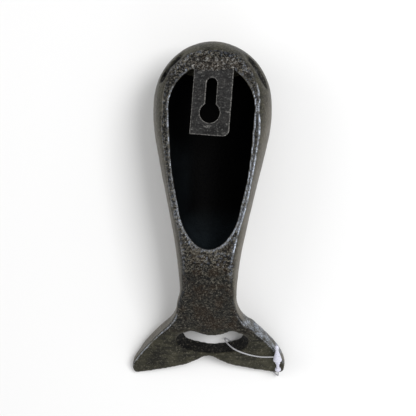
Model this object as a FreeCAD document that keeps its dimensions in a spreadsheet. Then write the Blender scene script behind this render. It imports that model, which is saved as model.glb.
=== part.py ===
"""Souvenir bottle opener: a hollow cast-iron whale that hangs on a wall, lying here on its front.

Frame: +X to the right, +Y towards the head, +Z up out of the open back, origin on the table
under the middle of the casting. Millimetres and degrees.
"""
import FreeCAD, Part
import math
import os

Vector = FreeCAD.Vector
Rotation = FreeCAD.Rotation
Placement = FreeCAD.Placement

doc = FreeCAD.newDocument("WhaleOpener")
sheet = doc.addObject("Spreadsheet::Sheet", "Dimensions")

# ---------------------------------------------------------------- driving dimensions
DRIVING = {
    # back plane, tail bend and flukes
    "rim_level": 36.0,
    "bend_start": -19.75,
    "bend_radius": 30.0,
    "tail_angle": 31.0,
    "fluke_thick": 9.0,
    "fluke_turn": 2.35,
    "slot_turn": 1.25,
    "fluke_turn_centre": -38.0,
    # head: half an ellipsoid in front of the widest section
    "crown_place": 52.0,
    "crown_half": 29.0,
    "crown_rise": 22.4,
    "nose_length": 31.1,
    # cavity: half an ellipsoid at each end of its tapering middle
    "cavity_front_place": 48.75,
    "cavity_front_half": 21.9,
    "cavity_front_depth": 23.5,
    "cavity_front_level": 28.1,
    "cavity_front_length": 22.6,
    "cavity_tail_place": 9.25,
    "cavity_tail_half": 15.8,
    "cavity_tail_depth": 20.4,
    "cavity_tail_level": 32.0,
    "cavity_tail_length": 28.0,
    "cavity_tail_cut": 6.0,
    "cavity_shift": 0.3,
    # keyhole plate
    "plate_wide": 19.0,
    "plate_thick": 2.2,
    "plate_top": 35.2,
    "plate_above_hole": 24.0,
    "plate_below_hole": 10.8,
    "plate_askew": -3.2,
    "plate_corner": 3.2,
    "hole_across": -0.5,
    "hole_along": 46.95,
    "hole_radius": 4.8,
    "slot_wide": 5.2,
    "slot_reach": 14.2,
    "seat_gap": 0.05,
    # weld bead
    "bead_rise": 0.75,
    # tag tie
    "filament_thick": 0.7,
    "lock_across": 34.1,
    "lock_tip": 34.9,
    "lock_lift": 2.3,
    "lock_lean": 3.7,
    "lock_cone_radius": 2.2,
    "lock_cone_length": 6.6,
    "lock_tip_radius": 0.9,
    "lock_tip_length": 2.9,
    "pin_neck_radius": 0.75,
    "pin_collar_radius": 1.2,
    "pin_foot_radius": 1.5,
    "pin_length": 6.0,
}

# Sections of the casting behind the head, as ellipses: name, place along Y, half width,
# half height and height of the centre.
HULL_SECTIONS = (
    ("collar", 41.75, 28.6, 22.75, 22.95),
    ("shoulder", 31.25, 26.85, 23.0, 23.6),
    ("chest", 16.25, 23.5, 21.7, 25.3),
    ("waist", 1.25, 20.1, 18.85, 26.9),
    ("loin", -12.75, 17.2, 15.1, 26.9),
    ("stock", -24.75, 15.15, 13.4, 27.1),
    ("neck", -35.75, 14.2, 11.3, 24.7),
    ("root", -44.75, 13.7, 8.6, 20.8),
    ("heel", -53.25, 10.5, 3.4, 16.2),
)

# Sections of the cavity between its two rounded ends, in the same form.
CAVITY_SECTIONS = (
    ("hollow_shoulder", 29.65, 20.4, 23.0, 28.8),
    ("hollow_chest", 15.25, 18.25, 22.0, 30.6),
)

row = 1
for alias, value in DRIVING.items():
    sheet.set(f"A{row}", alias)
    sheet.set(f"B{row}", str(value))
    sheet.setAlias(f"B{row}", alias)
    row += 1
for name, place, half, rise, level in HULL_SECTIONS + CAVITY_SECTIONS:
    for suffix, value in (("place", place), ("half", half), ("rise", rise), ("level", level)):
        sheet.set(f"A{row}", f"{name}_{suffix}")
        sheet.set(f"B{row}", str(value))
        sheet.setAlias(f"B{row}", f"{name}_{suffix}")
        row += 1
doc.recompute()


def size(alias):
    """Value of one cell of the sheet."""
    return float(sheet.get(alias))


def bind(item, prop, expression):
    """Tie a property to the sheet; names after '#' are cells."""
    item.setExpression(prop, expression.replace("#", "Dimensions."))


def add(kind, name, **properties):
    """New document object with plain properties set."""
    item = doc.addObject(kind, name)
    for prop, value in properties.items():
        setattr(item, prop, value)
    return item


def ellipsoid(name, base, z_half, x_half, y_half, rotation=None):
    """Part::Ellipsoid whose three half axes are numbers or sheet expressions."""
    item = add("Part::Ellipsoid", name)
    for prop, value in (("Radius1", z_half), ("Radius2", x_half), ("Radius3", y_half)):
        if isinstance(value, str):
            bind(item, prop, value)
        else:
            setattr(item, prop, value)
    item.Placement = Placement(Vector(*base), rotation or Rotation())
    return item


def box(name, low, high):
    """Axis-aligned box between two corners."""
    item = add("Part::Box", name, Length=high[0] - low[0], Width=high[1] - low[1], Height=high[2] - low[2])
    item.Placement.Base = Vector(*low)
    return item


# ---------------------------------------------------------------- casting: outside
# A wide section has its long axis along X, a deep one has it along Z.
WIDE = Rotation(Vector(1, 0, 0), 90)
DEEP = Rotation(Vector(1, 1, 1), -120)


def section(name, place, half, rise, level, across="0"):
    """Upright ellipse across the body, bound to its cells."""
    item = add("Part::Ellipse", name.title().replace("_", "") + "Section")
    wide = size(half) >= size(rise)
    item.Placement = Placement(Vector(), WIDE if wide else DEEP)
    bind(item, "MajorRadius", "#" + (half if wide else rise))
    bind(item, "MinorRadius", "#" + (rise if wide else half))
    bind(item, "Placement.Base.x", across)
    bind(item, "Placement.Base.y", "#" + place)
    bind(item, "Placement.Base.z", "#" + level)
    return item


def row_sections(rows, across="0"):
    """Sections of one list, bound to their four cells each."""
    return [section(name, f"{name}_place", f"{name}_half", f"{name}_rise", f"{name}_level", across)
            for name, *_ in rows]


head = ellipsoid("Head", (0, 0, 0), "#crown_rise", "#crown_half", "#nose_length")
head.Angle3 = 180
bind(head, "Placement.Base.y", "#crown_place")
bind(head, "Placement.Base.z", "#crown_rise")

crown = section("crown", "crown_place", "crown_half", "crown_rise", "crown_rise")
hull = add("Part::Loft", "Hull", Sections=[crown] + row_sections(HULL_SECTIONS), Solid=True, Ruled=False)

# ---------------------------------------------------------------- casting: tail bend and flukes
TAIL = math.radians(size("tail_angle"))
BEND_END = Vector(0, size("bend_start") - size("bend_radius") * math.sin(TAIL),
                  size("rim_level") - size("bend_radius") * (1 - math.cos(TAIL)))
TAIL_FRAME = Placement(BEND_END, Rotation(Vector(1, 0, 0), size("tail_angle")))


def on_tail(x, y, z=0.0):
    """Point given in the sloping frame of the tail: x across, y up the slope, z out of the back."""
    return TAIL_FRAME.multVec(Vector(x, y, z))


def sketch_of(name, edges, placement):
    """Free sketch holding the given edges."""
    item = add("Sketcher::SketchObject", name)
    for edge in edges:
        item.addGeometry(edge, False)
    item.Placement = placement
    return item


def line(start, end):
    return Part.LineSegment(Vector(*start, 0), Vector(*end, 0))


def arc(start, middle, end):
    return Part.Arc(Vector(*start, 0), Vector(*middle, 0), Vector(*end, 0))


def mirrored(start, middle, end):
    """The same arc on the other side of the middle line, run the other way."""
    return arc(*[(-x, y) for x, y in (end, middle, start)])


def turned_tail(turn_alias):
    """The tail's frame, turned a little about the middle of the flukes."""
    pivot = Vector(0, size("fluke_turn_centre"), 0)
    turn = Placement(Vector(), Rotation(Vector(0, 0, 1), size(turn_alias)), pivot)
    return TAIL_FRAME.multiply(turn)


FLUKE_ARCS = (
    ((14.6, -13.0), (16.4, -20.5), (20.8, -26.9)),
    ((20.8, -26.9), (29.5, -35.8), (36.4, -45.3)),
    ((36.4, -45.3), (38.9, -50.4), (38.8, -54.0)),
    ((38.8, -54.0), (37.8, -55.6), (35.8, -55.8)),
    ((35.8, -55.8), (22.8, -53.5), (12.2, -50.9)),
    ((12.2, -50.9), (6.6, -48.2), (2.6, -45.5)),
)
# Towards their tips the flukes bend a little to the left.
SKEW, SKEW_FROM, SKEW_TO = -1.4, -38.0, -54.0


def skewed(points, side):
    """Points of the right fluke, or mirrored to the left one, moved by the bend."""
    return [(side * x + SKEW * min(max((y - SKEW_FROM) / (SKEW_TO - SKEW_FROM), 0), 1), y) for x, y in points]


fluke_edges = [line((-11.2, -4.0), (11.2, -4.0)), line((11.2, -4.0), (14.6, -13.0))]
fluke_edges += [arc(*skewed(points, 1)) for points in FLUKE_ARCS]
fluke_edges += [arc(*skewed(((2.6, -45.5), (0.0, -45.0), (-2.6, -45.5)), 1))]
fluke_edges += [arc(*skewed(points[::-1], -1)) for points in reversed(FLUKE_ARCS)]
fluke_edges += [line((-14.6, -13.0), (-11.2, -4.0))]
fluke_outline = sketch_of("FlukeOutline", fluke_edges, turned_tail("fluke_turn"))
fluke_prism = add("Part::Extrusion", "FlukePrism", Base=fluke_outline, DirMode="Normal", Solid=True)
fluke_prism.Symmetric = True
fluke_prism.LengthFwd = 60

# Side profile of the flukes: the tail's slope on top, the casting's thickness below it, and a
# flat belly close over the table that leaves a thin trailing edge.
SIDE = Placement(Vector(), Rotation(Vector(1, 1, 1), 120))


def side_point(x, y, z=0.0):
    """Y and Z of a point of the tail's frame."""
    point = on_tail(x, y, z)
    return (point.y, point.z)


thick = size("fluke_thick")
belly_front = side_point(0, -43.0, -thick)
profile_points = [side_point(0, 2.0, 6.0), side_point(0, 2.0, -thick), belly_front, (-86.5, 1.0),
                  (-86.5, 1.6), side_point(0, -60.0, 6.0)]
profile_edges = [line(a, b) for a, b in zip(profile_points, profile_points[1:] + profile_points[:1])]
fluke_profile = sketch_of("FlukeProfile", profile_edges, SIDE)
fluke_slab = add("Part::Extrusion", "FlukeSlab", Base=fluke_profile, DirMode="Normal", Solid=True)
fluke_slab.Symmetric = True
fluke_slab.LengthFwd = 100
flukes = add("Part::Common", "Flukes", Base=fluke_prism, Tool=fluke_slab)

blank = add("Part::MultiFuse", "Blank", Shapes=[head, hull, flukes])

# Everything above the back is cut off along the rim plane, the bend and the tail's slope.
bend_middle = (size("bend_start") - size("bend_radius") * math.sin(TAIL / 2),
               size("rim_level") - size("bend_radius") * (1 - math.cos(TAIL / 2)))
rim = size("rim_level")
tail_far = side_point(0, -65.0)
back_edges = [line((95, rim), (size("bend_start"), rim)),
              arc((size("bend_start"), rim), bend_middle, (BEND_END.y, BEND_END.z)),
              line((BEND_END.y, BEND_END.z), tail_far), line(tail_far, (tail_far[0], 70)),
              line((tail_far[0], 70), (95, 70)), line((95, 70), (95, rim))]
back_sketch = sketch_of("BackProfile", back_edges, SIDE)
back_cutter = add("Part::Extrusion", "BackCutter", Base=back_sketch, DirMode="Normal", Solid=True)
back_cutter.Symmetric = True
back_cutter.LengthFwd = 120
faced = add("Part::Cut", "FacedBlank", Base=blank, Tool=back_cutter)

# ---------------------------------------------------------------- casting: cavity
cavity_front = ellipsoid("CavityFront", (0, 0, 0), "#cavity_front_depth", "#cavity_front_half",
                         "#cavity_front_length")
cavity_front.Angle3 = 180
bind(cavity_front, "Placement.Base.x", "#cavity_shift")
bind(cavity_front, "Placement.Base.y", "#cavity_front_place")
bind(cavity_front, "Placement.Base.z", "#cavity_front_level")

# The tail end of the cavity is the part of its ellipsoid behind a plane, so the section there
# is the ellipsoid's own, scaled.
cavity_tail_whole = ellipsoid("CavityTailWhole", (0, 0, 0), "#cavity_tail_depth", "#cavity_tail_half",
                              "#cavity_tail_length", Rotation())
bind(cavity_tail_whole, "Placement.Base.x", "#cavity_shift")
bind(cavity_tail_whole, "Placement.Base.y", "#cavity_tail_place")
bind(cavity_tail_whole, "Placement.Base.z", "#cavity_tail_level")
joint_place = size("cavity_tail_place") - size("cavity_tail_cut")
cavity_tail_side = box("CavityTailSide", (-40, joint_place - 60, -20), (40, joint_place, 80))
cavity_tail = add("Part::Common", "CavityTail", Base=cavity_tail_whole, Tool=cavity_tail_side)

tail_share = "sqrt(1 - (#cavity_tail_cut / #cavity_tail_length)^2)"
hollow_joint = add("Part::Ellipse", "HollowJointSection", Placement=Placement(Vector(), DEEP))
bind(hollow_joint, "MajorRadius", f"#cavity_tail_depth * {tail_share}")
bind(hollow_joint, "MinorRadius", f"#cavity_tail_half * {tail_share}")
bind(hollow_joint, "Placement.Base.x", "#cavity_shift")
bind(hollow_joint, "Placement.Base.y", "#cavity_tail_place - #cavity_tail_cut")
bind(hollow_joint, "Placement.Base.z", "#cavity_tail_level")
hollow_front = section("hollow_front", "cavity_front_place", "cavity_front_half", "cavity_front_depth",
                       "cavity_front_level", "#cavity_shift")
cavity_middle = add("Part::Loft", "CavityMiddle", Solid=True, Ruled=False,
                    Sections=[hollow_front] + row_sections(CAVITY_SECTIONS, "#cavity_shift") + [hollow_joint])
cavity = add("Part::MultiFuse", "Cavity", Shapes=[cavity_front, cavity_middle, cavity_tail])

# ---------------------------------------------------------------- casting: opener slot
# A crescent through the flukes: two raised lobes with the tongue that catches the cap between
# them. Its end walls lean in towards the front, so it is wider in the back than in the front.
SLOT_ACROSS = 1.8
SLOT_ARCS = (
    ((0.0, -31.7), (4.4, -31.2), (7.5, -29.9)),
    ((7.5, -29.9), (10.5, -29.1), (13.4, -30.3)),
    ((13.4, -30.3), (17.4, -32.3), (18.6, -35.2)),
    ((18.6, -35.2), (17.4, -38.8), (13.0, -41.4)),
)
SLOT_ABOVE, SLOT_BELOW = 5.0, -14.0
SLOT_DRAFT = 0.019
slot_frame = turned_tail("slot_turn").multiply(Placement(Vector(SLOT_ACROSS, 0, 0), Rotation()))
slot_outlines = []
for word, level in (("Back", SLOT_ABOVE), ("Front", SLOT_BELOW)):
    wider = 1 + SLOT_DRAFT * level
    half = [[(x * wider, y) for x, y in points] for points in SLOT_ARCS]
    slot_edges = [arc(*points) for points in half]
    slot_edges.append(arc((13.0 * wider, -41.4), (0.0, -43.2), (-13.0 * wider, -41.4)))
    slot_edges += [mirrored(*points) for points in reversed(half)]
    raised = slot_frame.multiply(Placement(Vector(0, 0, level), Rotation()))
    slot_outlines.append(sketch_of(f"Slot{word}", slot_edges, raised))
slot_cutter = add("Part::Loft", "SlotCutter", Sections=slot_outlines, Solid=True, Ruled=True)

# ---------------------------------------------------------------- casting: mouth, eyes, plate seat
# Two shallow grooves end to end make each side of the mouth: place, turn along the jaw, length.
MOUTHS = (("LeftFront", -17.4, 72.8, 32.4, -46, 5.6), ("LeftRear", -22.9, 66.0, 32.2, -27, 5.4),
          ("RightFront", 19.2, 72.2, 31.4, 44, 5.6), ("RightRear", 24.8, 64.0, 31.0, 25, 6.2))
mouths = [ellipsoid(f"Mouth{word}", (x, y, z), 1.7, 1.8, half_long, Rotation(Vector(0, 0, 1), turn))
          for word, x, y, z, turn, half_long in MOUTHS]
eyes = [ellipsoid(f"{word}Eye", (side * 26.3, 58.0, 14.0), 1.9, 1.9, 2.2)
        for side, word in ((-1, "Left"), (1, "Right"))]

plate_frame = Placement(Vector(size("hole_across"), size("hole_along"), size("plate_top")),
                        Rotation(Vector(0, 0, 1), size("plate_askew")))
seat = add("Part::Box", "PlateSeat")
bind(seat, "Length", "#plate_wide + 2 * #seat_gap")
bind(seat, "Width", "#plate_above_hole + #plate_below_hole + 2 * #seat_gap")
bind(seat, "Height", "#plate_thick + #seat_gap + 3")
seat_corner = Vector(-size("plate_wide") / 2 - size("seat_gap") - size("hole_across"),
                     -size("plate_below_hole") - size("seat_gap"), -size("plate_thick") - size("seat_gap"))
seat.Placement = plate_frame.multiply(Placement(seat_corner, Rotation()))
bead_trough = box("BeadTrough", (-11.6, 66.0, size("plate_top")), (14.6, 75.0, 40.0))

body_with_eyes = add("Part::MultiFuse", "BodyWithEyes", Shapes=[faced] + eyes)
cutters = add("Part::MultiFuse", "Cutters", Shapes=[cavity, seat, bead_trough])
hollowed = add("Part::Cut", "Hollowed", Base=body_with_eyes, Tool=cutters)
openings = add("Part::MultiFuse", "SlotAndMouths", Shapes=[slot_cutter] + mouths)
whale_body = add("Part::Cut", "whale_body", Base=hollowed, Tool=openings)

# ---------------------------------------------------------------- keyhole plate
plate = doc.addObject("PartDesign::Body", "keyhole_plate")


def plane_of(body, role):
    """One of a body's own origin planes."""
    return next(item for item in body.Origin.OriginFeatures if item.Role == role)


def body_sketch(body, name, edges, role="XY_Plane"):
    item = body.newObject("Sketcher::SketchObject", name)
    item.AttachmentSupport = [(plane_of(body, role), "")]
    item.MapMode = "FlatFace"
    for edge in edges:
        item.addGeometry(edge, False)
    return item


half_wide = size("plate_wide") / 2
centre = -size("hole_across")
left, right = centre - half_wide, centre + half_wide
top, bottom = size("plate_above_hole"), -size("plate_below_hole")
corner = size("plate_corner")
rounding = corner * (1 - math.sqrt(0.5))
plate_edges = [line((left, top), (right, top)), line((right, top), (right, bottom + corner)),
               arc((right, bottom + corner), (right - rounding, bottom + rounding), (right - corner, bottom)),
               line((right - corner, bottom), (left, bottom)), line((left, bottom), (left, top))]
plate_outline = body_sketch(plate, "PlateOutline", plate_edges)
pad = plate.newObject("PartDesign::Pad", "PlatePad")
pad.Profile = plate_outline
pad.Reversed = True
bind(pad, "Length", "#plate_thick")

hole_radius, slot_half, reach = size("hole_radius"), size("slot_wide") / 2, size("slot_reach")
meet = math.sqrt(hole_radius ** 2 - slot_half ** 2)
keyhole_edges = [arc((slot_half, meet), (0, -hole_radius), (-slot_half, meet)),
                 line((-slot_half, meet), (-slot_half, reach)),
                 arc((-slot_half, reach), (0, reach + slot_half), (slot_half, reach)),
                 line((slot_half, reach), (slot_half, meet))]
keyhole_outline = body_sketch(plate, "KeyholeOutline", keyhole_edges)
keyhole = plate.newObject("PartDesign::Pocket", "Keyhole")
keyhole.Profile = keyhole_outline
keyhole.Type = "ThroughAll"
plate.Placement = plate_frame

# ---------------------------------------------------------------- weld bead
# Lumps of braze laid in two rows over the plate's top edge, level with the rim at most: place
# across, place along, half width and half length of each. A thin puddle joins them.
LUMPS = ((-8.9, 69.4, 2.4, 2.1), (-5.2, 69.0, 2.9, 2.4), (-1.6, 69.5, 2.7, 2.4), (2.0, 69.0, 3.0, 2.5),
         (5.7, 69.5, 2.7, 2.2), (9.0, 69.9, 2.6, 2.3), (11.9, 70.6, 1.9, 1.9), (-6.6, 72.4, 2.8, 2.2),
         (-2.6, 72.6, 3.0, 2.1), (1.6, 72.3, 2.7, 2.3), (6.0, 72.7, 3.1, 2.0), (10.2, 72.9, 2.5, 1.8))
lumps = [ellipsoid(f"Lump{number}", (x, y, size("plate_top")), "#bead_rise", wide_half, long_half)
         for number, (x, y, wide_half, long_half) in enumerate(LUMPS, 1)]
puddle = box("Puddle", (-11.3, 68.3, size("plate_top")), (14.3, 74.8, size("plate_top") + 0.35))
lump_row = add("Part::MultiFuse", "LumpRow", Shapes=lumps + [puddle])
above_plate = box("AbovePlate", (-20, 60, size("plate_top")), (20, 80, 50))
weld_bead = add("Part::Common", "weld_bead", Base=lump_row, Tool=above_plate)

# ---------------------------------------------------------------- tag tie: socket and pin
# Both are turned about one axis that runs down the tail's slope; y is the distance along it.
LOCK_FRAME = TAIL_FRAME.multiply(Placement(Vector(size("lock_across"), -size("lock_tip"), size("lock_lift")),
                                           Rotation(Vector(0, 0, 1), 180 + size("lock_lean"))))


def turned(name, outline):
    """Body turned about its own Y axis from an outline that starts and ends on the axis."""
    body = doc.addObject("PartDesign::Body", name)
    closed = outline + outline[:1]
    profile = body_sketch(body, name.title().replace("_", "") + "Profile",
                          [line(a, b) for a, b in zip(closed, closed[1:])])
    turn = body.newObject("PartDesign::Revolution", name.title().replace("_", "") + "Turn")
    turn.Profile = profile
    turn.ReferenceAxis = (profile, ["V_Axis"])
    turn.Angle = 360
    body.Placement = LOCK_FRAME
    return body


tip_radius, tip_length = size("lock_tip_radius"), size("lock_tip_length")
cone_radius, cone_end = size("lock_cone_radius"), size("lock_tip_length") + size("lock_cone_length")
tie_socket = turned("tie_socket", [
    (0, 0), (0.5 * tip_radius, 0), (tip_radius, 0.5), (tip_radius, tip_length - 0.9),
    (0.78 * tip_radius, tip_length), (cone_radius - 0.1, cone_end - 1.0), (cone_radius, cone_end - 0.5),
    (cone_radius - 0.5, cone_end), (0, cone_end)])

neck_radius, collar_radius = size("pin_neck_radius"), size("pin_collar_radius")
foot_radius, pin_end = size("pin_foot_radius"), cone_end + size("pin_length")
tie_pin = turned("tie_pin", [
    (0, cone_end), (neck_radius, cone_end), (neck_radius, cone_end + 0.5), (collar_radius, cone_end + 0.8),
    (collar_radius, cone_end + 1.7), (neck_radius, cone_end + 2.1), (neck_radius, pin_end - 1.0),
    (foot_radius, pin_end - 0.6), (foot_radius, pin_end), (0, pin_end)])

# ---------------------------------------------------------------- tag tie: filament
ROUTE = (
    (33.3, -72.4, 12.1),
    (28.8, -73.1, 10.0),
    (23.6, -72.8, 9.75),
    (18.2, -71.5, 10.55),
    (13.6, -69.7, 11.6),
    (10.2, -68.1, 8.2),
    (7.3, -65.6, 3.7),
    (7.7, -65.1, 0.8),
    (11.6, -67.6, 0.5),
    (17.6, -71.9, 0.5),
    (24.6, -75.4, 0.5),
    (30.8, -80.0, 0.5),
    (34.6, -83.4, 0.7),
    (35.5, -83.5, 4.0),
    (35.13, -79.5, 7.85),
)


def rounded_path(points, share=0.45):
    """Straight runs joined by tangent arcs; returns the wire and its radii."""
    points = [Vector(*point) for point in points]
    edges, radii = [], []
    start = points[0]
    for before, here, after in zip(points, points[1:], points[2:]):
        into = (here - before).normalize()
        out = (after - here).normalize()
        half_turn = into.getAngle(out) / 2
        setback = share * min((here - before).Length, (after - here).Length)
        radius = setback / math.tan(half_turn)
        first, last = here - into * setback, here + out * setback
        inward = (out - into).normalize()
        middle = here + inward * (radius / math.cos(half_turn) - radius)
        edges.append(Part.LineSegment(start, first).toShape())
        edges.append(Part.Arc(first, middle, last).toShape())
        radii.append(radius)
        start = last
    edges.append(Part.LineSegment(start, points[-1]).toShape())
    return Part.Wire(edges), radii


path, radii = rounded_path(ROUTE)
filament_radius = size("filament_thick") / 2
ring = Part.Wire(Part.makeCircle(filament_radius, Vector(*ROUTE[0]), Vector(*ROUTE[1]) - Vector(*ROUTE[0])))
filament_tube = doc.addObject("Part::Feature", "FilamentTube")
filament_tube.Shape = path.makePipeShell([ring], True, False)
filament_tube.Placement = Placement()
lock = add("Part::MultiFuse", "Lock", Shapes=[tie_socket, tie_pin])
tie_filament = add("Part::Cut", "tie_filament", Base=filament_tube, Tool=lock)

# ---------------------------------------------------------------- labels, checks and files
NODES = (whale_body, plate, weld_bead, tie_socket, tie_pin, tie_filament)
for node in NODES:
    node.Label = node.Name

doc.recompute()
failed = [item.Name for item in doc.Objects if {"Invalid", "Error"} & set(item.State)]
failed += [node.Name for node in NODES if node.Shape.isNull() or not node.Shape.isValid()]
if failed:
    raise RuntimeError(f"failed objects: {failed}")

print("filament radii:", ", ".join(f"{radius:.2f}" for radius in radii))
print(f"filament length {path.Length:.1f}, volume {filament_tube.Shape.Volume:.2f}, "
      f"section times length {math.pi * filament_radius ** 2 * path.Length:.2f}")

os.makedirs("parts", exist_ok=True)
for node in NODES:
    bounds = node.Shape.BoundBox
    print(f"{node.Name}: {len(node.Shape.Solids)} solid, volume {node.Shape.Volume:.1f}, "
          f"x {bounds.XMin:.2f}..{bounds.XMax:.2f}, y {bounds.YMin:.2f}..{bounds.YMax:.2f}, "
          f"z {bounds.ZMin:.2f}..{bounds.ZMax:.2f}")
    node.Shape.exportStep(f"parts/{node.Label}.step")
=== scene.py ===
import math

import bmesh
import bpy
import numpy as np
from mathutils import Matrix, Vector, noise


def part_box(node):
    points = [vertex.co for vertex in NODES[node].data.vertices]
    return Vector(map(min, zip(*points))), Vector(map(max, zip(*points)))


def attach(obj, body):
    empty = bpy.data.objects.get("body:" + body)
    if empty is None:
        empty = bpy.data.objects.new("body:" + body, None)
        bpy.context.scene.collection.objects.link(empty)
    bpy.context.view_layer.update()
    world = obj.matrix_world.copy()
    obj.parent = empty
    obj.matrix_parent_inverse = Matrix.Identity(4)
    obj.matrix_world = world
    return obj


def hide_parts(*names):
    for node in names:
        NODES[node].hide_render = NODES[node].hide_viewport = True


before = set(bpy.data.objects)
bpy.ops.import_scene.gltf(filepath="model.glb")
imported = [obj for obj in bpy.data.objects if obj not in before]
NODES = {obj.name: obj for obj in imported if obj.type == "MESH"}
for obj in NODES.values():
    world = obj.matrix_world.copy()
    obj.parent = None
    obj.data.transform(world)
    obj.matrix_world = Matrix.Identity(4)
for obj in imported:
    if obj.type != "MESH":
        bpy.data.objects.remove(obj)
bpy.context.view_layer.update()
BODY = "root"
MM = 0.001
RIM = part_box("whale_body")[1].z


# ---------------------------------------------------------------- camera
# Straight above the open back, a little to the whale's right, and rolled a touch.
CAMERA_DISTANCE = 0.432
CAMERA_LEAN = math.radians(3.8)
CAMERA_ROLL = math.radians(1.22)
CAMERA_AIM = Vector((-1.45, 1.5, 18.0)) * MM
FOCAL_LENGTH = 75.25

back = Vector((math.sin(CAMERA_LEAN), 0.0, math.cos(CAMERA_LEAN)))
level_right = Vector((math.cos(CAMERA_LEAN), 0.0, -math.sin(CAMERA_LEAN)))
level_up = back.cross(level_right)
right = level_right * math.cos(CAMERA_ROLL) + level_up * math.sin(CAMERA_ROLL)
up = level_up * math.cos(CAMERA_ROLL) - level_right * math.sin(CAMERA_ROLL)

camera = bpy.data.objects.new("camera", bpy.data.cameras.new("camera"))
camera.data.lens = FOCAL_LENGTH
camera.data.sensor_width = 36.0
camera.data.clip_start = 0.01
camera.matrix_world = Matrix.Translation(CAMERA_AIM + back * CAMERA_DISTANCE) @ Matrix(
    (right, up, back)).transposed().to_4x4()
bpy.context.collection.objects.link(camera)
bpy.context.scene.camera = camera


# ---------------------------------------------------------------- tag tie's filament
FILAMENT_THICK = 0.7 * MM
ROUTE = (
    (33.3, -72.4, 12.1),
    (28.8, -73.1, 10.0),
    (23.6, -72.8, 9.75),
    (18.2, -71.5, 10.55),
    (13.6, -69.7, 11.6),
    (10.2, -68.1, 8.2),
    (7.3, -65.6, 3.7),
    (7.7, -65.1, 0.8),
    (11.6, -67.6, 0.5),
    (17.6, -71.9, 0.5),
    (24.6, -75.4, 0.5),
    (30.8, -80.0, 0.5),
    (34.6, -83.4, 0.7),
    (35.5, -83.5, 4.0),
    (35.13, -79.5, 7.85),
)


def filament():
    curve = bpy.data.curves.new("filament", "CURVE")
    curve.dimensions = "3D"
    curve.bevel_depth = FILAMENT_THICK / 2
    curve.bevel_resolution = 4
    spline = curve.splines.new("NURBS")
    spline.points.add(len(ROUTE) - 1)
    for point, place in zip(spline.points, ROUTE):
        point.co = (*(Vector(place) * MM), 1.0)
    spline.order_u = 3
    spline.use_endpoint_u = True
    spline.resolution_u = 12
    made = bpy.data.objects.new("filament", curve)
    bpy.context.collection.objects.link(made)
    return made


# ---------------------------------------------------------------- shader helpers
def new_material(name):
    """Material with its node tree, its shader and a function that adds a node to it."""
    material = bpy.data.materials.new(name)
    material.use_nodes = True
    tree = material.node_tree
    shader = tree.nodes["Principled BSDF"]

    def add(kind, inputs=None, **settings):
        node = tree.nodes.new(kind)
        for key, value in settings.items():
            setattr(node, key, value)
        for key, value in (inputs or {}).items():
            if isinstance(value, bpy.types.NodeSocket):
                tree.links.new(value, node.inputs[key])
            else:
                node.inputs[key].default_value = value
        return node

    return material, tree, shader, add


def span(add, value, low, high, start=0.0, end=1.0):
    """Value remapped so that low goes to start and high to end, clamped."""
    node = add("ShaderNodeMapRange", {"Value": value, "From Min": low, "From Max": high,
                                      "To Min": start, "To Max": end})
    return node.outputs["Result"]


def mixed(add, share, first, second):
    """Colour that goes from first to second as share goes from 0 to 1."""
    node = add("ShaderNodeMix", {0: share, 6: first, 7: second}, data_type="RGBA")
    return node.outputs[2]


def times(add, first, second):
    return add("ShaderNodeMath", {0: first, 1: second}, operation="MULTIPLY").outputs[0]


def plus(add, first, second):
    return add("ShaderNodeMath", {0: first, 1: second}, operation="ADD").outputs[0]


def noise_of(add, place, scale, detail=3.0, roughness=0.6):
    node = add("ShaderNodeTexNoise", {"Vector": place, "Scale": scale, "Detail": detail,
                                      "Roughness": roughness})
    return node.outputs["Fac"]


# Soot black also serves as painted shade, and dust grey also as a painted sheen on the lit sides.
SOOT_BLACK = (0.002, 0.002, 0.0022, 1)
DUST_GREY = (0.130, 0.119, 0.100, 1)
RUST_BROWN = (0.0135, 0.008, 0.004, 1)


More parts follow.
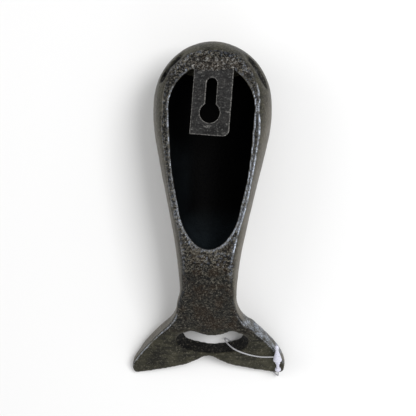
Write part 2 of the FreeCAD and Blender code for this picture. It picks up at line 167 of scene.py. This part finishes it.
def painted_iron(name, dark, tint, speck, edge, gloss, relief_depth):
    """Paint over rough metal: tinted patches, soot with painted shade, rust, dust with a painted sheen,
    flecks with painted glints, and bare metal where it is worn, with painted highlights.
    """
    material, tree, shader, add = new_material(name)
    place = add("ShaderNodeTexCoord").outputs["Object"]
    wear, rough, rust, soot, dust = [add("ShaderNodeAttribute", attribute_name=share).outputs["Fac"]
                                     for share in ("wear", "rough", "rust", "soot", "dust")]

    patches = noise_of(add, place, 70.0, 5.0, 0.65)
    streaked = add("ShaderNodeMapping", {"Vector": place, "Scale": (0.55, 1.5, 1.0)}).outputs["Vector"]
    mottle = noise_of(add, streaked, 360.0, 4.0, 0.7)
    grains = noise_of(add, place, 1000.0, 3.0, 0.7)
    fine = noise_of(add, place, 2300.0, 2.0, 0.6)
    folds = noise_of(add, place, 560.0, 4.0, 0.7)
    off_middle = add("ShaderNodeMath", {0: plus(add, folds, -0.5)}, operation="ABSOLUTE").outputs[0]
    wrinkles = span(add, off_middle, 0.034, 0.008)

    uneven = plus(add, times(add, patches, 0.5), times(add, mottle, 0.5))
    colour = mixed(add, span(add, uneven, 0.42, 0.60), dark, tint)
    # Darker towards black by the soot share, which is partly painted shade.
    colour = mixed(add, times(add, soot, 0.94), colour, SOOT_BLACK)
    # Lighter grey: dust, and a painted sheen on the sides that catch the light.
    colour = mixed(add, dust, colour, DUST_GREY)
    rusty = times(add, rust, span(add, noise_of(add, place, 170.0, 5.0, 0.7), 0.46, 0.60))
    colour = mixed(add, rusty, colour, RUST_BROWN)
    # Light flecks on the grain's high points, where the same noise raises the bump: flecks and painted glints
    # on the bumps; the fold ridges are lightened the same way.
    flecks = times(add, span(add, grains, 0.58, 0.62), span(add, rough, 0.0, 1.0, 0.20, 0.6))
    folded = times(add, times(add, wrinkles, rough), span(add, mottle, 0.38, 0.56))
    flecks = plus(add, flecks, times(add, folded, 0.95))
    colour = mixed(add, span(add, flecks, 0.0, 1.0), colour, speck)
    # Bare metal where worn, and painted highlights along the lines and the facet that the key light catches.
    worn = times(add, wear, span(add, fine, 0.42, 0.60))
    colour = mixed(add, worn, colour, edge)
    tree.links.new(colour, shader.inputs["Base Color"])
    tree.links.new(span(add, patches, 0.3, 0.7, *gloss), shader.inputs["Roughness"])
    tree.links.new(times(add, worn, 0.4), shader.inputs["Metallic"])
    shader.inputs["Specular IOR Level"].default_value = 0.13

    relief = plus(add, times(add, grains, 0.6), times(add, wrinkles, times(add, rough, 0.4)))
    bump = add("ShaderNodeBump", {"Height": relief, "Strength": 1.0, "Distance": relief_depth})
    tree.links.new(bump.outputs["Normal"], shader.inputs["Normal"])
    return material


def hollow_iron():
    """Inside of the hollow: near black, black paint made darker still as painted shade of the deep recess,
    with a faint cold painted sheen towards the tail.
    """
    material, tree, shader, add = new_material("hollow_iron")
    place = add("ShaderNodeTexCoord").outputs["Object"]
    sheen = add("ShaderNodeAttribute", attribute_name="sheen").outputs["Fac"]
    grains = noise_of(add, place, 800.0, 3.0, 0.7)
    cloud = span(add, noise_of(add, place, 160.0, 5.0, 0.7), 0.3, 0.7, 0.5, 1.0)
    # Near-black base as painted shade; the sheen share mixes in a navy painted reflection.
    colour = mixed(add, times(add, sheen, cloud), (0.0005, 0.0005, 0.0006, 1), (0.009, 0.0125, 0.0150, 1))
    tree.links.new(colour, shader.inputs["Base Color"])
    shader.inputs["Roughness"].default_value = 0.6
    shader.inputs["Specular IOR Level"].default_value = 0.04
    bump = add("ShaderNodeBump", {"Height": grains, "Strength": 0.8, "Distance": 0.0006})
    tree.links.new(bump.outputs["Normal"], shader.inputs["Normal"])
    return material


def nylon(name, tint, shade, transmission):
    """Milky moulded nylon with faint clouding."""
    material, tree, shader, add = new_material(name)
    place = add("ShaderNodeTexCoord").outputs["Object"]
    cloud = noise_of(add, place, 420.0, 2.0)
    tree.links.new(mixed(add, span(add, cloud, 0.35, 0.65), tint, shade), shader.inputs["Base Color"])
    tree.links.new(span(add, cloud, 0.3, 0.7, 0.2, 0.38), shader.inputs["Roughness"])
    shader.inputs["IOR"].default_value = 1.53
    shader.inputs["Transmission Weight"].default_value = transmission
    return material


# ---------------------------------------------------------------- mesh helpers
def link(mesh, name):
    made = bpy.data.objects.new(name, mesh)
    bpy.context.collection.objects.link(made)
    return made


def remeshed(source_mesh, name, voxel):
    """Even closed skin over a mesh, as a new object."""
    mesh = source_mesh.copy()
    mesh.materials.clear()
    work = bmesh.new()
    work.from_mesh(mesh)
    bmesh.ops.remove_doubles(work, verts=work.verts, dist=1e-6)
    work.to_mesh(mesh)
    work.free()
    rough = link(mesh, name + "_source")
    skin = rough.modifiers.new("skin", "REMESH")
    skin.mode = "VOXEL"
    skin.voxel_size = voxel
    graph = bpy.context.evaluated_depsgraph_get()
    even = bpy.data.meshes.new_from_object(rough.evaluated_get(graph))
    even.name = name
    bpy.data.objects.remove(rough)
    made = link(even, name)
    made.data.shade_smooth()
    return made


def points_of(mesh):
    values = np.empty(len(mesh.vertices) * 3)
    mesh.vertices.foreach_get("co", values)
    return values.reshape(-1, 3)


def normals_of(mesh):
    values = np.empty(len(mesh.vertices) * 3)
    mesh.vertex_normals.foreach_get("vector", values)
    return values.reshape(-1, 3)


def set_points(mesh, values):
    mesh.vertices.foreach_set("co", np.ascontiguousarray(values, dtype=np.float32).ravel())
    mesh.update()


def edges_of(mesh):
    values = np.empty(len(mesh.edges) * 2, dtype=np.int64)
    mesh.edges.foreach_get("vertices", values)
    return values.reshape(-1, 2)


def around(edges, values, rounds=1):
    """Mean over each vertex's neighbours, repeated."""
    first, second = edges.T
    size = len(values)
    count = np.maximum(np.bincount(edges.ravel(), minlength=size), 1)
    columns = values.reshape(size, -1).T.copy()
    for _ in range(rounds):
        for number, column in enumerate(columns):
            total = np.bincount(first, column[second], size) + np.bincount(second, column[first], size)
            columns[number] = total / count
    return columns.T.reshape(values.shape)


def eased(edges, points, weight, rounds):
    """Points smoothed by weight, which may differ from vertex to vertex."""
    for _ in range(rounds):
        points = points + (around(edges, points) - points) * weight[:, None]
    return points


def proud_of(edges, points, normals, rounds):
    """How far each vertex stands above its surroundings."""
    return ((points - around(edges, points, rounds)) * normals).sum(axis=1)


def noise_at(points, scale, seed):
    """Smooth noise from -1 to 1 at each point, with lumps about scale long."""
    shift = Vector((seed * 17.3, seed * 5.1, seed * 9.7))
    return np.array([noise.noise(Vector(point) / scale + shift) for point in points])


def rise(values, low, high):
    """0 below low, 1 above high and smooth between."""
    share = np.clip((values - low) / (high - low), 0.0, 1.0)
    return share * share * (3 - 2 * share)


def within(values, low, high, soft):
    """1 from low to high, falling to 0 over soft outside."""
    return rise(values, low - soft, low) * rise(-values, -high - soft, -high)


def weather(mesh, **shares):
    """One attribute on the mesh for each named share, a number or one value per vertex."""
    for name, values in shares.items():
        layer = mesh.attributes.new(name, "FLOAT", "POINT")
        every = np.broadcast_to(values, len(mesh.vertices))
        layer.data.foreach_set("value", np.ascontiguousarray(every, dtype=np.float32))


# ---------------------------------------------------------------- casting
CAST_VOXEL = 0.55 * MM
CAVITY_MIDDLE = 0.3 * MM
CAVITY_FROM, CAVITY_TO = 9.25 * MM, 48.75 * MM
CAVITY_TAIL_END = -20.5 * MM
TAIL_SLOPE = math.radians(31.0)
BEND_END = np.array((0.0, -35.2, 31.72)) * MM


def tail_frame(points):
    """Across, up the slope and out of the back, from the end of the bend."""
    moved = points - BEND_END
    along = moved[:, 1] * math.cos(TAIL_SLOPE) + moved[:, 2] * math.sin(TAIL_SLOPE)
    out = moved[:, 2] * math.cos(TAIL_SLOPE) - moved[:, 1] * math.sin(TAIL_SLOPE)
    return moved[:, 0], along, out


def boundary(edges, flat):
    """1 along the border of a flat area, 0 away from it."""
    flat = around(edges, flat, 2)
    return rise(4 * flat * (1 - flat), 0.65, 0.95)


def cavity_share(points, normals):
    """1 on the wall of the hollow, 0 outside it."""
    x, y, z = points.T
    inward = np.stack((CAVITY_MIDDLE - x, np.clip(y, CAVITY_FROM, CAVITY_TO) - y, RIM + 0.005 - z), axis=1)
    facing = (normals * inward).sum(axis=1) / np.linalg.norm(inward, axis=1)
    below_rim = rise(-z, -(RIM - 0.0004), -(RIM - 0.0010))
    behind_weld = rise(-y, -0.0672, -0.0662)
    ahead_of_tail = rise(y, CAVITY_TAIL_END - 0.0005, CAVITY_TAIL_END)
    return rise(facing, 0.0, 0.15) * ahead_of_tail * below_rim * behind_weld


# Each groove of the mouth: start and end across and along, and its height.
MOUTHS = (((-24.2, 62.6), (-16.0, 74.0), 32.3), ((26.6, 60.4), (18.2, 73.6), 31.2))


def mouth_share(points):
    """1 along the grooves of the mouth, 0 away from them."""
    share = np.zeros(len(points))
    for start, end, level in MOUTHS:
        start, end = np.array(start) * MM, np.array(end) * MM
        run = end - start
        step = np.clip(((points[:, :2] - start) @ run) / (run @ run), 0.0, 1.0)
        gap = np.hypot(*(points[:, :2] - start - step[:, None] * run).T)
        at_level = within(points[:, 2], (level - 2) * MM, (level + 1.6) * MM, soft=0.5 * MM)
        share = np.maximum(share, rise(-gap, -1.5 * MM, -0.6 * MM) * at_level)
    return share


class Places:
    """Where each vertex of the casting lies, before its edges are eased."""

    def __init__(self, mesh):
        points = points_of(mesh)
        self.edges = edges_of(mesh)
        self.x, self.y, self.z = points.T
        self.across, self.along, self.out = tail_frame(points)
        self.inside = cavity_share(points, normals_of(mesh))
        self.mouth = mouth_share(points)
        self.on_rim = rise(self.z, RIM - 0.004, RIM - 0.002)
        self.slot_across = within(self.across, -0.0185, 0.0225, soft=0.001)
        self.near_slot = self.slot_across * within(self.along, -0.0455, -0.0265, soft=0.001)


def eased_casting(points, at):
    """Edges eased a little everywhere, more on the tail and the head, most on the flukes' front."""
    near_hollow = rise(around(at.edges, at.inside, rounds=6), 0.01, 0.10)
    near_weld = within(at.x, -0.0125, 0.0155, soft=0.001) * rise(at.y, 0.0645, 0.0655) * at.on_rim
    head_from = np.where(at.x > 0.0, 0.052, 0.034)
    head_side = rise(at.y - head_from, 0.0, 0.010) * (1 - near_hollow) * (1 - near_weld)
    head_side = head_side * rise(at.z, 0.024, 0.030) * (1 - at.mouth)
    root_sides = within(at.along, -0.022, 0.002, soft=0.005) * rise(np.abs(at.across), 0.0088, 0.0118)
    under_bead = within(at.x, -0.0135, 0.0165, soft=0.002) * rise(at.y, 0.067, 0.069)
    on_tail = rise(-at.along, -0.004, 0.006)
    front_of_tail = on_tail * rise(-at.out, 0.0035, 0.0055)

    points = eased(at.edges, points, 0.5 * np.ones(len(points)), rounds=3)
    points = eased(at.edges, points, 0.6 * on_tail, rounds=4)
    points = eased(at.edges, points, 0.7 * under_bead * at.on_rim, rounds=10)
    points = eased(at.edges, points, 0.7 * np.maximum(0.8 * head_side, root_sides), rounds=14)
    return eased(at.edges, points, 0.7 * front_of_tail * (1 - at.near_slot), rounds=26)


def back_areas(normals, at, patchy):
    """Shares of the pebbled band round the hollow, the neck, the crown and the rim's flat land."""
    on_back = rise(normals[:, 2], 0.45, 0.75) * rise(at.z, 0.006, 0.012)
    round_hollow = rise(around(at.edges, at.inside, rounds=20), 0.004, 0.05) * rise(-at.y, -0.012, 0.006)
    round_hollow = round_hollow * (0.4 + 0.6 * rise(patchy, 0.25, 0.6))
    below_hollow = within(at.y, -0.0300, -0.0195, soft=0.006) * rise(at.x, -0.010, 0.006)
    below_hollow = below_hollow * rise(patchy, 0.35, 0.70)
    band = on_back * np.maximum(round_hollow, 0.7 * below_hollow)
    neck = on_back * within(at.y, -0.056, -0.0195, soft=0.008)
    crown = on_back * within(at.y, 0.0665, 0.0740, soft=0.003) * rise(at.z, RIM - 0.003, RIM - 0.001)
    land = rise(normals[:, 2], 0.72, 0.92) * rise(at.z, RIM - 0.0016, RIM - 0.0006) * (1 - at.inside)
    return band, neck, crown, land


def edge_lines(points, normals, at):
    """Shares of the lines along the hollow's edge, the rim's outer edge and the flukes' leading edges."""
    by_hollow = rise(around(at.edges, at.inside, rounds=3), 0.02, 0.12)
    inner = rise(proud_of(at.edges, points, normals, rounds=3), 0.14 * MM, 0.22 * MM) * by_hollow
    on_level_rim = at.on_rim * rise(at.y, -0.0225, -0.018) * rise(-at.y, -0.064, -0.058)
    outer = boundary(at.edges, rise(normals[:, 2], 0.82, 0.90)) * on_level_rim * (1 - by_hollow)
    up_slope = normals[:, 1] * math.cos(TAIL_SLOPE) + normals[:, 2] * math.sin(TAIL_SLOPE)
    off_tail = normals[:, 2] * math.cos(TAIL_SLOPE) - normals[:, 1] * math.sin(TAIL_SLOPE)
    leading = rise(up_slope, 0.04, 0.12) * (1 - at.near_slot) * within(at.along, -0.0530, -0.0200, soft=0.002)
    fluke = boundary(at.edges, rise(off_tail, 0.86, 0.94)) * leading
    return inner, outer, fluke


def casting():
    made = remeshed(NODES["whale_body"].data, "whale_casting", CAST_VOXEL)
    mesh = made.data
    at = Places(mesh)
    points = eased_casting(points_of(mesh), at)
    set_points(mesh, points)
    normals = normals_of(mesh)

    patchy = 0.5 + 0.5 * noise_at(points, 5.5 * MM, seed=10)
    band, neck, crown, land = back_areas(normals, at, patchy)
    right_land = land * rise(at.x, 0.010, 0.014) * rise(-at.y, -0.020, -0.004)
    rough = 0.9 * band + 0.20 * neck + 0.4 * crown + land * (0.15 + 0.50 * patchy) + 0.25 * right_land
    rough = np.clip(rough, 0.0, 1.0)
    slot_wall = at.slot_across * within(at.along, -0.0445, -0.0280, soft=0.0005)
    slot_wall = slot_wall * rise(-at.out, 0.0003, 0.0010)
    # Painted shade in the slot's walls and the mouth's grooves, partly painted shade on the neck, and the
    # dark tone of the rim's flat land and the crown.
    soot = np.clip(0.9 * neck + 0.95 * land + 0.5 * crown + slot_wall + at.mouth, 0.0, 1.0)

    # Painted highlights: a painted bluish reflection on the right fluke's leading facet, and painted
    # highlight lines on the hollow's left inner edge and the rim's right outer edge, where the key light from
    # the right catches them; the flukes' leading edges get light lines that are partly wear, partly painted
    # highlight.
    inner, outer, fluke = edge_lines(points, normals, at)
    left_inner = inner * rise(-at.x, 0.002, 0.008) * rise(at.y, -0.016, 0.0) * rise(-at.y, -0.061, -0.055)
    right_outer = outer * rise(at.x, 0.004, 0.012) * rise(-at.y, -0.062, -0.056)
    facet = rise(at.across, 0.016, 0.019) * rise(normals[:, 0], 0.35, 0.6) * rise(normals[:, 1], 0.1, 0.3)
    facet = facet * within(at.along, -0.043, -0.021, soft=0.003)
    broken = 0.5 + 0.5 * noise_at(points, 2.6 * MM, seed=8)
    bright = 1.8 * left_inner + 1.8 * right_outer + 0.6 * fluke
    wear = bright * rise(broken, 0.15, 0.75) + 0.5 * facet * rise(broken, 0.2, 0.8)

    # Lighter grey on the steep sides: partly dust and partly a painted sheen, more on the right where the key
    # light falls and towards the tail, least on the head; it also greys and dulls the edge lines.
    dust = rise(-normals[:, 2], -0.72, -0.35) * (1 - slot_wall) * (1 - at.mouth)
    dust = dust * np.where(at.x > 0.0, 1.0, 0.8)
    by_length = 0.10 + 0.65 * rise(-at.y, -0.066, -0.045) + 0.2 * rise(-at.y, -0.020, 0.010)
    dust = dust * by_length * (0.7 + 0.6 * patchy) * (1 - 0.7 * facet)
    dull_lines = (inner + outer + fluke) * (0.2 + 0.8 * broken)

    lumps = noise_at(points, 11 * MM, seed=1)
    sand = noise_at(points, 2.3 * MM, seed=2)
    grit = noise_at(points, 1.2 * MM, seed=3)
    height = 0.07 + 0.16 * lumps + (0.06 + 0.10 * rough) * sand + (0.05 + 0.18 * rough) * grit
    height = height * (1 - 0.5 * at.inside) - 0.35 * at.mouth
    points = points + normals * (height * MM)[:, None]
    set_points(mesh, points)

    peaks = rise(proud_of(at.edges, points, normals_of(mesh), rounds=3), 0.03 * MM, 0.11 * MM)
    # Painted sheen: a navy painted reflection towards the hollow's tail end and on its left wall.
    left_wall = 0.3 * rise(-at.x, 0.008, 0.014) * rise(-at.y, -0.050, -0.020)
    weather(mesh, wear=np.clip(wear + 0.35 * peaks * rough, 0.0, 1.0), rough=rough,
            rust=np.clip(neck + 0.6 * crown, 0.0, 1.0), soot=soot,
            dust=np.clip(np.maximum(dust, dull_lines), 0.0, 1.0),
            sheen=np.maximum(rise(-at.y, -0.004, 0.014), left_wall))
    # The casting's bluish edge colour serves both as bare metal and as painted highlight.
    mesh.materials.append(painted_iron(
        "cast_iron", dark=(0.010, 0.0095, 0.0065, 1), tint=(0.050, 0.047, 0.031, 1),
        speck=(0.31, 0.285, 0.23, 1), edge=(0.72, 0.80, 0.95, 1), gloss=(0.28, 0.44), relief_depth=0.0006))
    # The hollow's faces get the near-black iron with its painted shade.
    mesh.materials.append(hollow_iron())
    for face in mesh.polygons:
        face.material_index = int(np.mean(at.inside[list(face.vertices)]) > 0.5)
    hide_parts("whale_body")
    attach(made, BODY)


# ---------------------------------------------------------------- keyhole plate and bead
PLATE_VOXEL = 0.32 * MM
BEAD_VOXEL = 0.3 * MM


def hanger_plate():
    made = remeshed(NODES["keyhole_plate"].data, "hanger_plate", PLATE_VOXEL)
    mesh = made.data
    edges = edges_of(mesh)
    points = eased(edges, points_of(mesh), 0.5 * np.ones(len(mesh.vertices)), rounds=3)
    set_points(mesh, points)
    normals = normals_of(mesh)
    edge_wear = rise(proud_of(edges, points, normals, rounds=3), 0.03 * MM, 0.09 * MM)
    height = 0.10 * noise_at(points, 6 * MM, seed=4) + 0.03 * noise_at(points, 1.4 * MM, seed=5)
    set_points(mesh, points + normals * (height * MM)[:, None])
    scratches = rise(noise_at(points * np.array((1.0, 2.4, 1.0)), 3.4 * MM, seed=9), 0.48, 0.72)
    weather(mesh, wear=np.clip(1.2 * edge_wear + 0.5 * scratches, 0.0, 1.0), rough=0.12, rust=0.1, soot=0.5,
            dust=0.0)
    mesh.materials.append(painted_iron(
        "hanger_steel", dark=(0.010, 0.010, 0.0105, 1), tint=(0.034, 0.033, 0.033, 1),
        speck=(0.22, 0.22, 0.21, 1), edge=(0.36, 0.35, 0.33, 1), gloss=(0.36, 0.5), relief_depth=0.0003))
    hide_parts("keyhole_plate")
    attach(made, BODY)


# The bead stays inside a circle round the middle of the head.
CROWN_CENTRE = np.array((0.0, 0.052))
CROWN_REACH = 24.0 * MM
BORDER_DROP = 0.7 * MM


def bead():
    made = remeshed(NODES["weld_bead"].data, "braze_bead", BEAD_VOXEL)
    mesh = made.data
    edges = edges_of(mesh)
    points = eased(edges, points_of(mesh), 0.5 * np.ones(len(mesh.vertices)), rounds=2)
    set_points(mesh, points)
    normals = normals_of(mesh)
    outward = 1 + 1.2 * rise(-normals[:, 2], -0.7, -0.3)
    height = 0.15 + 0.42 * outward * noise_at(points, 2.6 * MM, seed=6)
    height = height + 0.25 * noise_at(points, 1.2 * MM, seed=7)
    points = points + normals * (height * MM)[:, None]

    # The border sinks into the casting, and the corners are drawn in within the head's outline.
    x, y, _ = points.T
    border = 1 - within(x, -0.0090, 0.0115, soft=0.0025) * rise(-y, -0.0745, -0.0715)
    points[:, 2] -= BORDER_DROP * border
    from_crown = points[:, :2] - CROWN_CENTRE
    inward = np.minimum(1.0, CROWN_REACH / np.hypot(*from_crown.T))
    points[:, :2] = CROWN_CENTRE + from_crown * inward[:, None]
    set_points(mesh, points)
    normals = normals_of(mesh)
    peaks = rise(proud_of(edges, points, normals, rounds=4), 0.03 * MM, 0.12 * MM)
    peaks = peaks * rise(normals[:, 2], 0.6, 0.85)
    weather(mesh, wear=0.6 * peaks, rough=0.55, rust=0.5, soot=0.7, dust=0.0)
    mesh.materials.append(painted_iron(
        "braze", dark=(0.010, 0.009, 0.008, 1), tint=(0.040, 0.034, 0.027, 1),
        speck=(0.30, 0.27, 0.23, 1), edge=(0.60, 0.60, 0.58, 1), gloss=(0.28, 0.45), relief_depth=0.0005))
    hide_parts("weld_bead")
    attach(made, BODY)


# ---------------------------------------------------------------- tag tie
def tag_tie():
    milky = nylon("nylon", tint=(0.80, 0.80, 0.90, 1), shade=(0.70, 0.70, 0.84, 1), transmission=0.2)
    for name in ("tie_socket", "tie_pin"):
        for slot in NODES[name].material_slots:
            slot.material = milky
    thread = filament()
    thread.data.materials.append(nylon("nylon_filament", tint=(0.56, 0.56, 0.58, 1),
                                       shade=(0.46, 0.46, 0.49, 1), transmission=0.3))
    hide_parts("tie_filament")
    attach(thread, BODY)


# ---------------------------------------------------------------- floor and light
def floor():
    bpy.ops.mesh.primitive_plane_add(size=8.0)
    made = bpy.context.object
    made.name = "floor"
    material, tree, shader, add = new_material("floor")
    place = add("ShaderNodeTexCoord").outputs["Object"]
    cloud = noise_of(add, place, 3.0, 2.0)
    colour = mixed(add, cloud, (0.86, 0.86, 0.86, 1), (0.88, 0.88, 0.88, 1))
    tree.links.new(colour, shader.inputs["Base Color"])
    shader.inputs["Roughness"].default_value = 0.8
    shader.inputs["Specular IOR Level"].default_value = 0.2
    made.data.materials.append(material)


def area_light(name, place, width, power, colour):
    """Square soft light aimed at the middle of the object."""
    lamp = bpy.data.lights.new(name, "AREA")
    lamp.size = width
    lamp.energy = power
    lamp.color = colour
    made = bpy.data.objects.new(name, lamp)
    made.location = place
    made.rotation_mode = "QUATERNION"
    made.rotation_quaternion = (-Vector(place)).to_track_quat("-Z", "Y")
    bpy.context.collection.objects.link(made)


def lights():
    world = bpy.data.worlds.new("studio")
    bpy.context.scene.world = world
    world.use_nodes = True
    sky = world.node_tree.nodes["Background"].inputs
    sky["Color"].default_value = (1.0, 1.0, 1.0, 1)
    sky["Strength"].default_value = 0.50
    area_light("key", (0.58, 0.22, 0.95), width=0.55, power=8.8, colour=(1.0, 1.0, 1.0))
    area_light("left_fill", (-0.9, 0.15, 0.6), width=0.7, power=2.6, colour=(1.0, 0.99, 0.975))
    area_light("tail_fill", (0.35, -0.95, 0.5), width=0.6, power=1.4, colour=(0.95, 0.98, 1.0))
    bpy.context.scene.view_settings.view_transform = "Standard"


casting()
hanger_plate()
bead()
tag_tie()
floor()
lights()
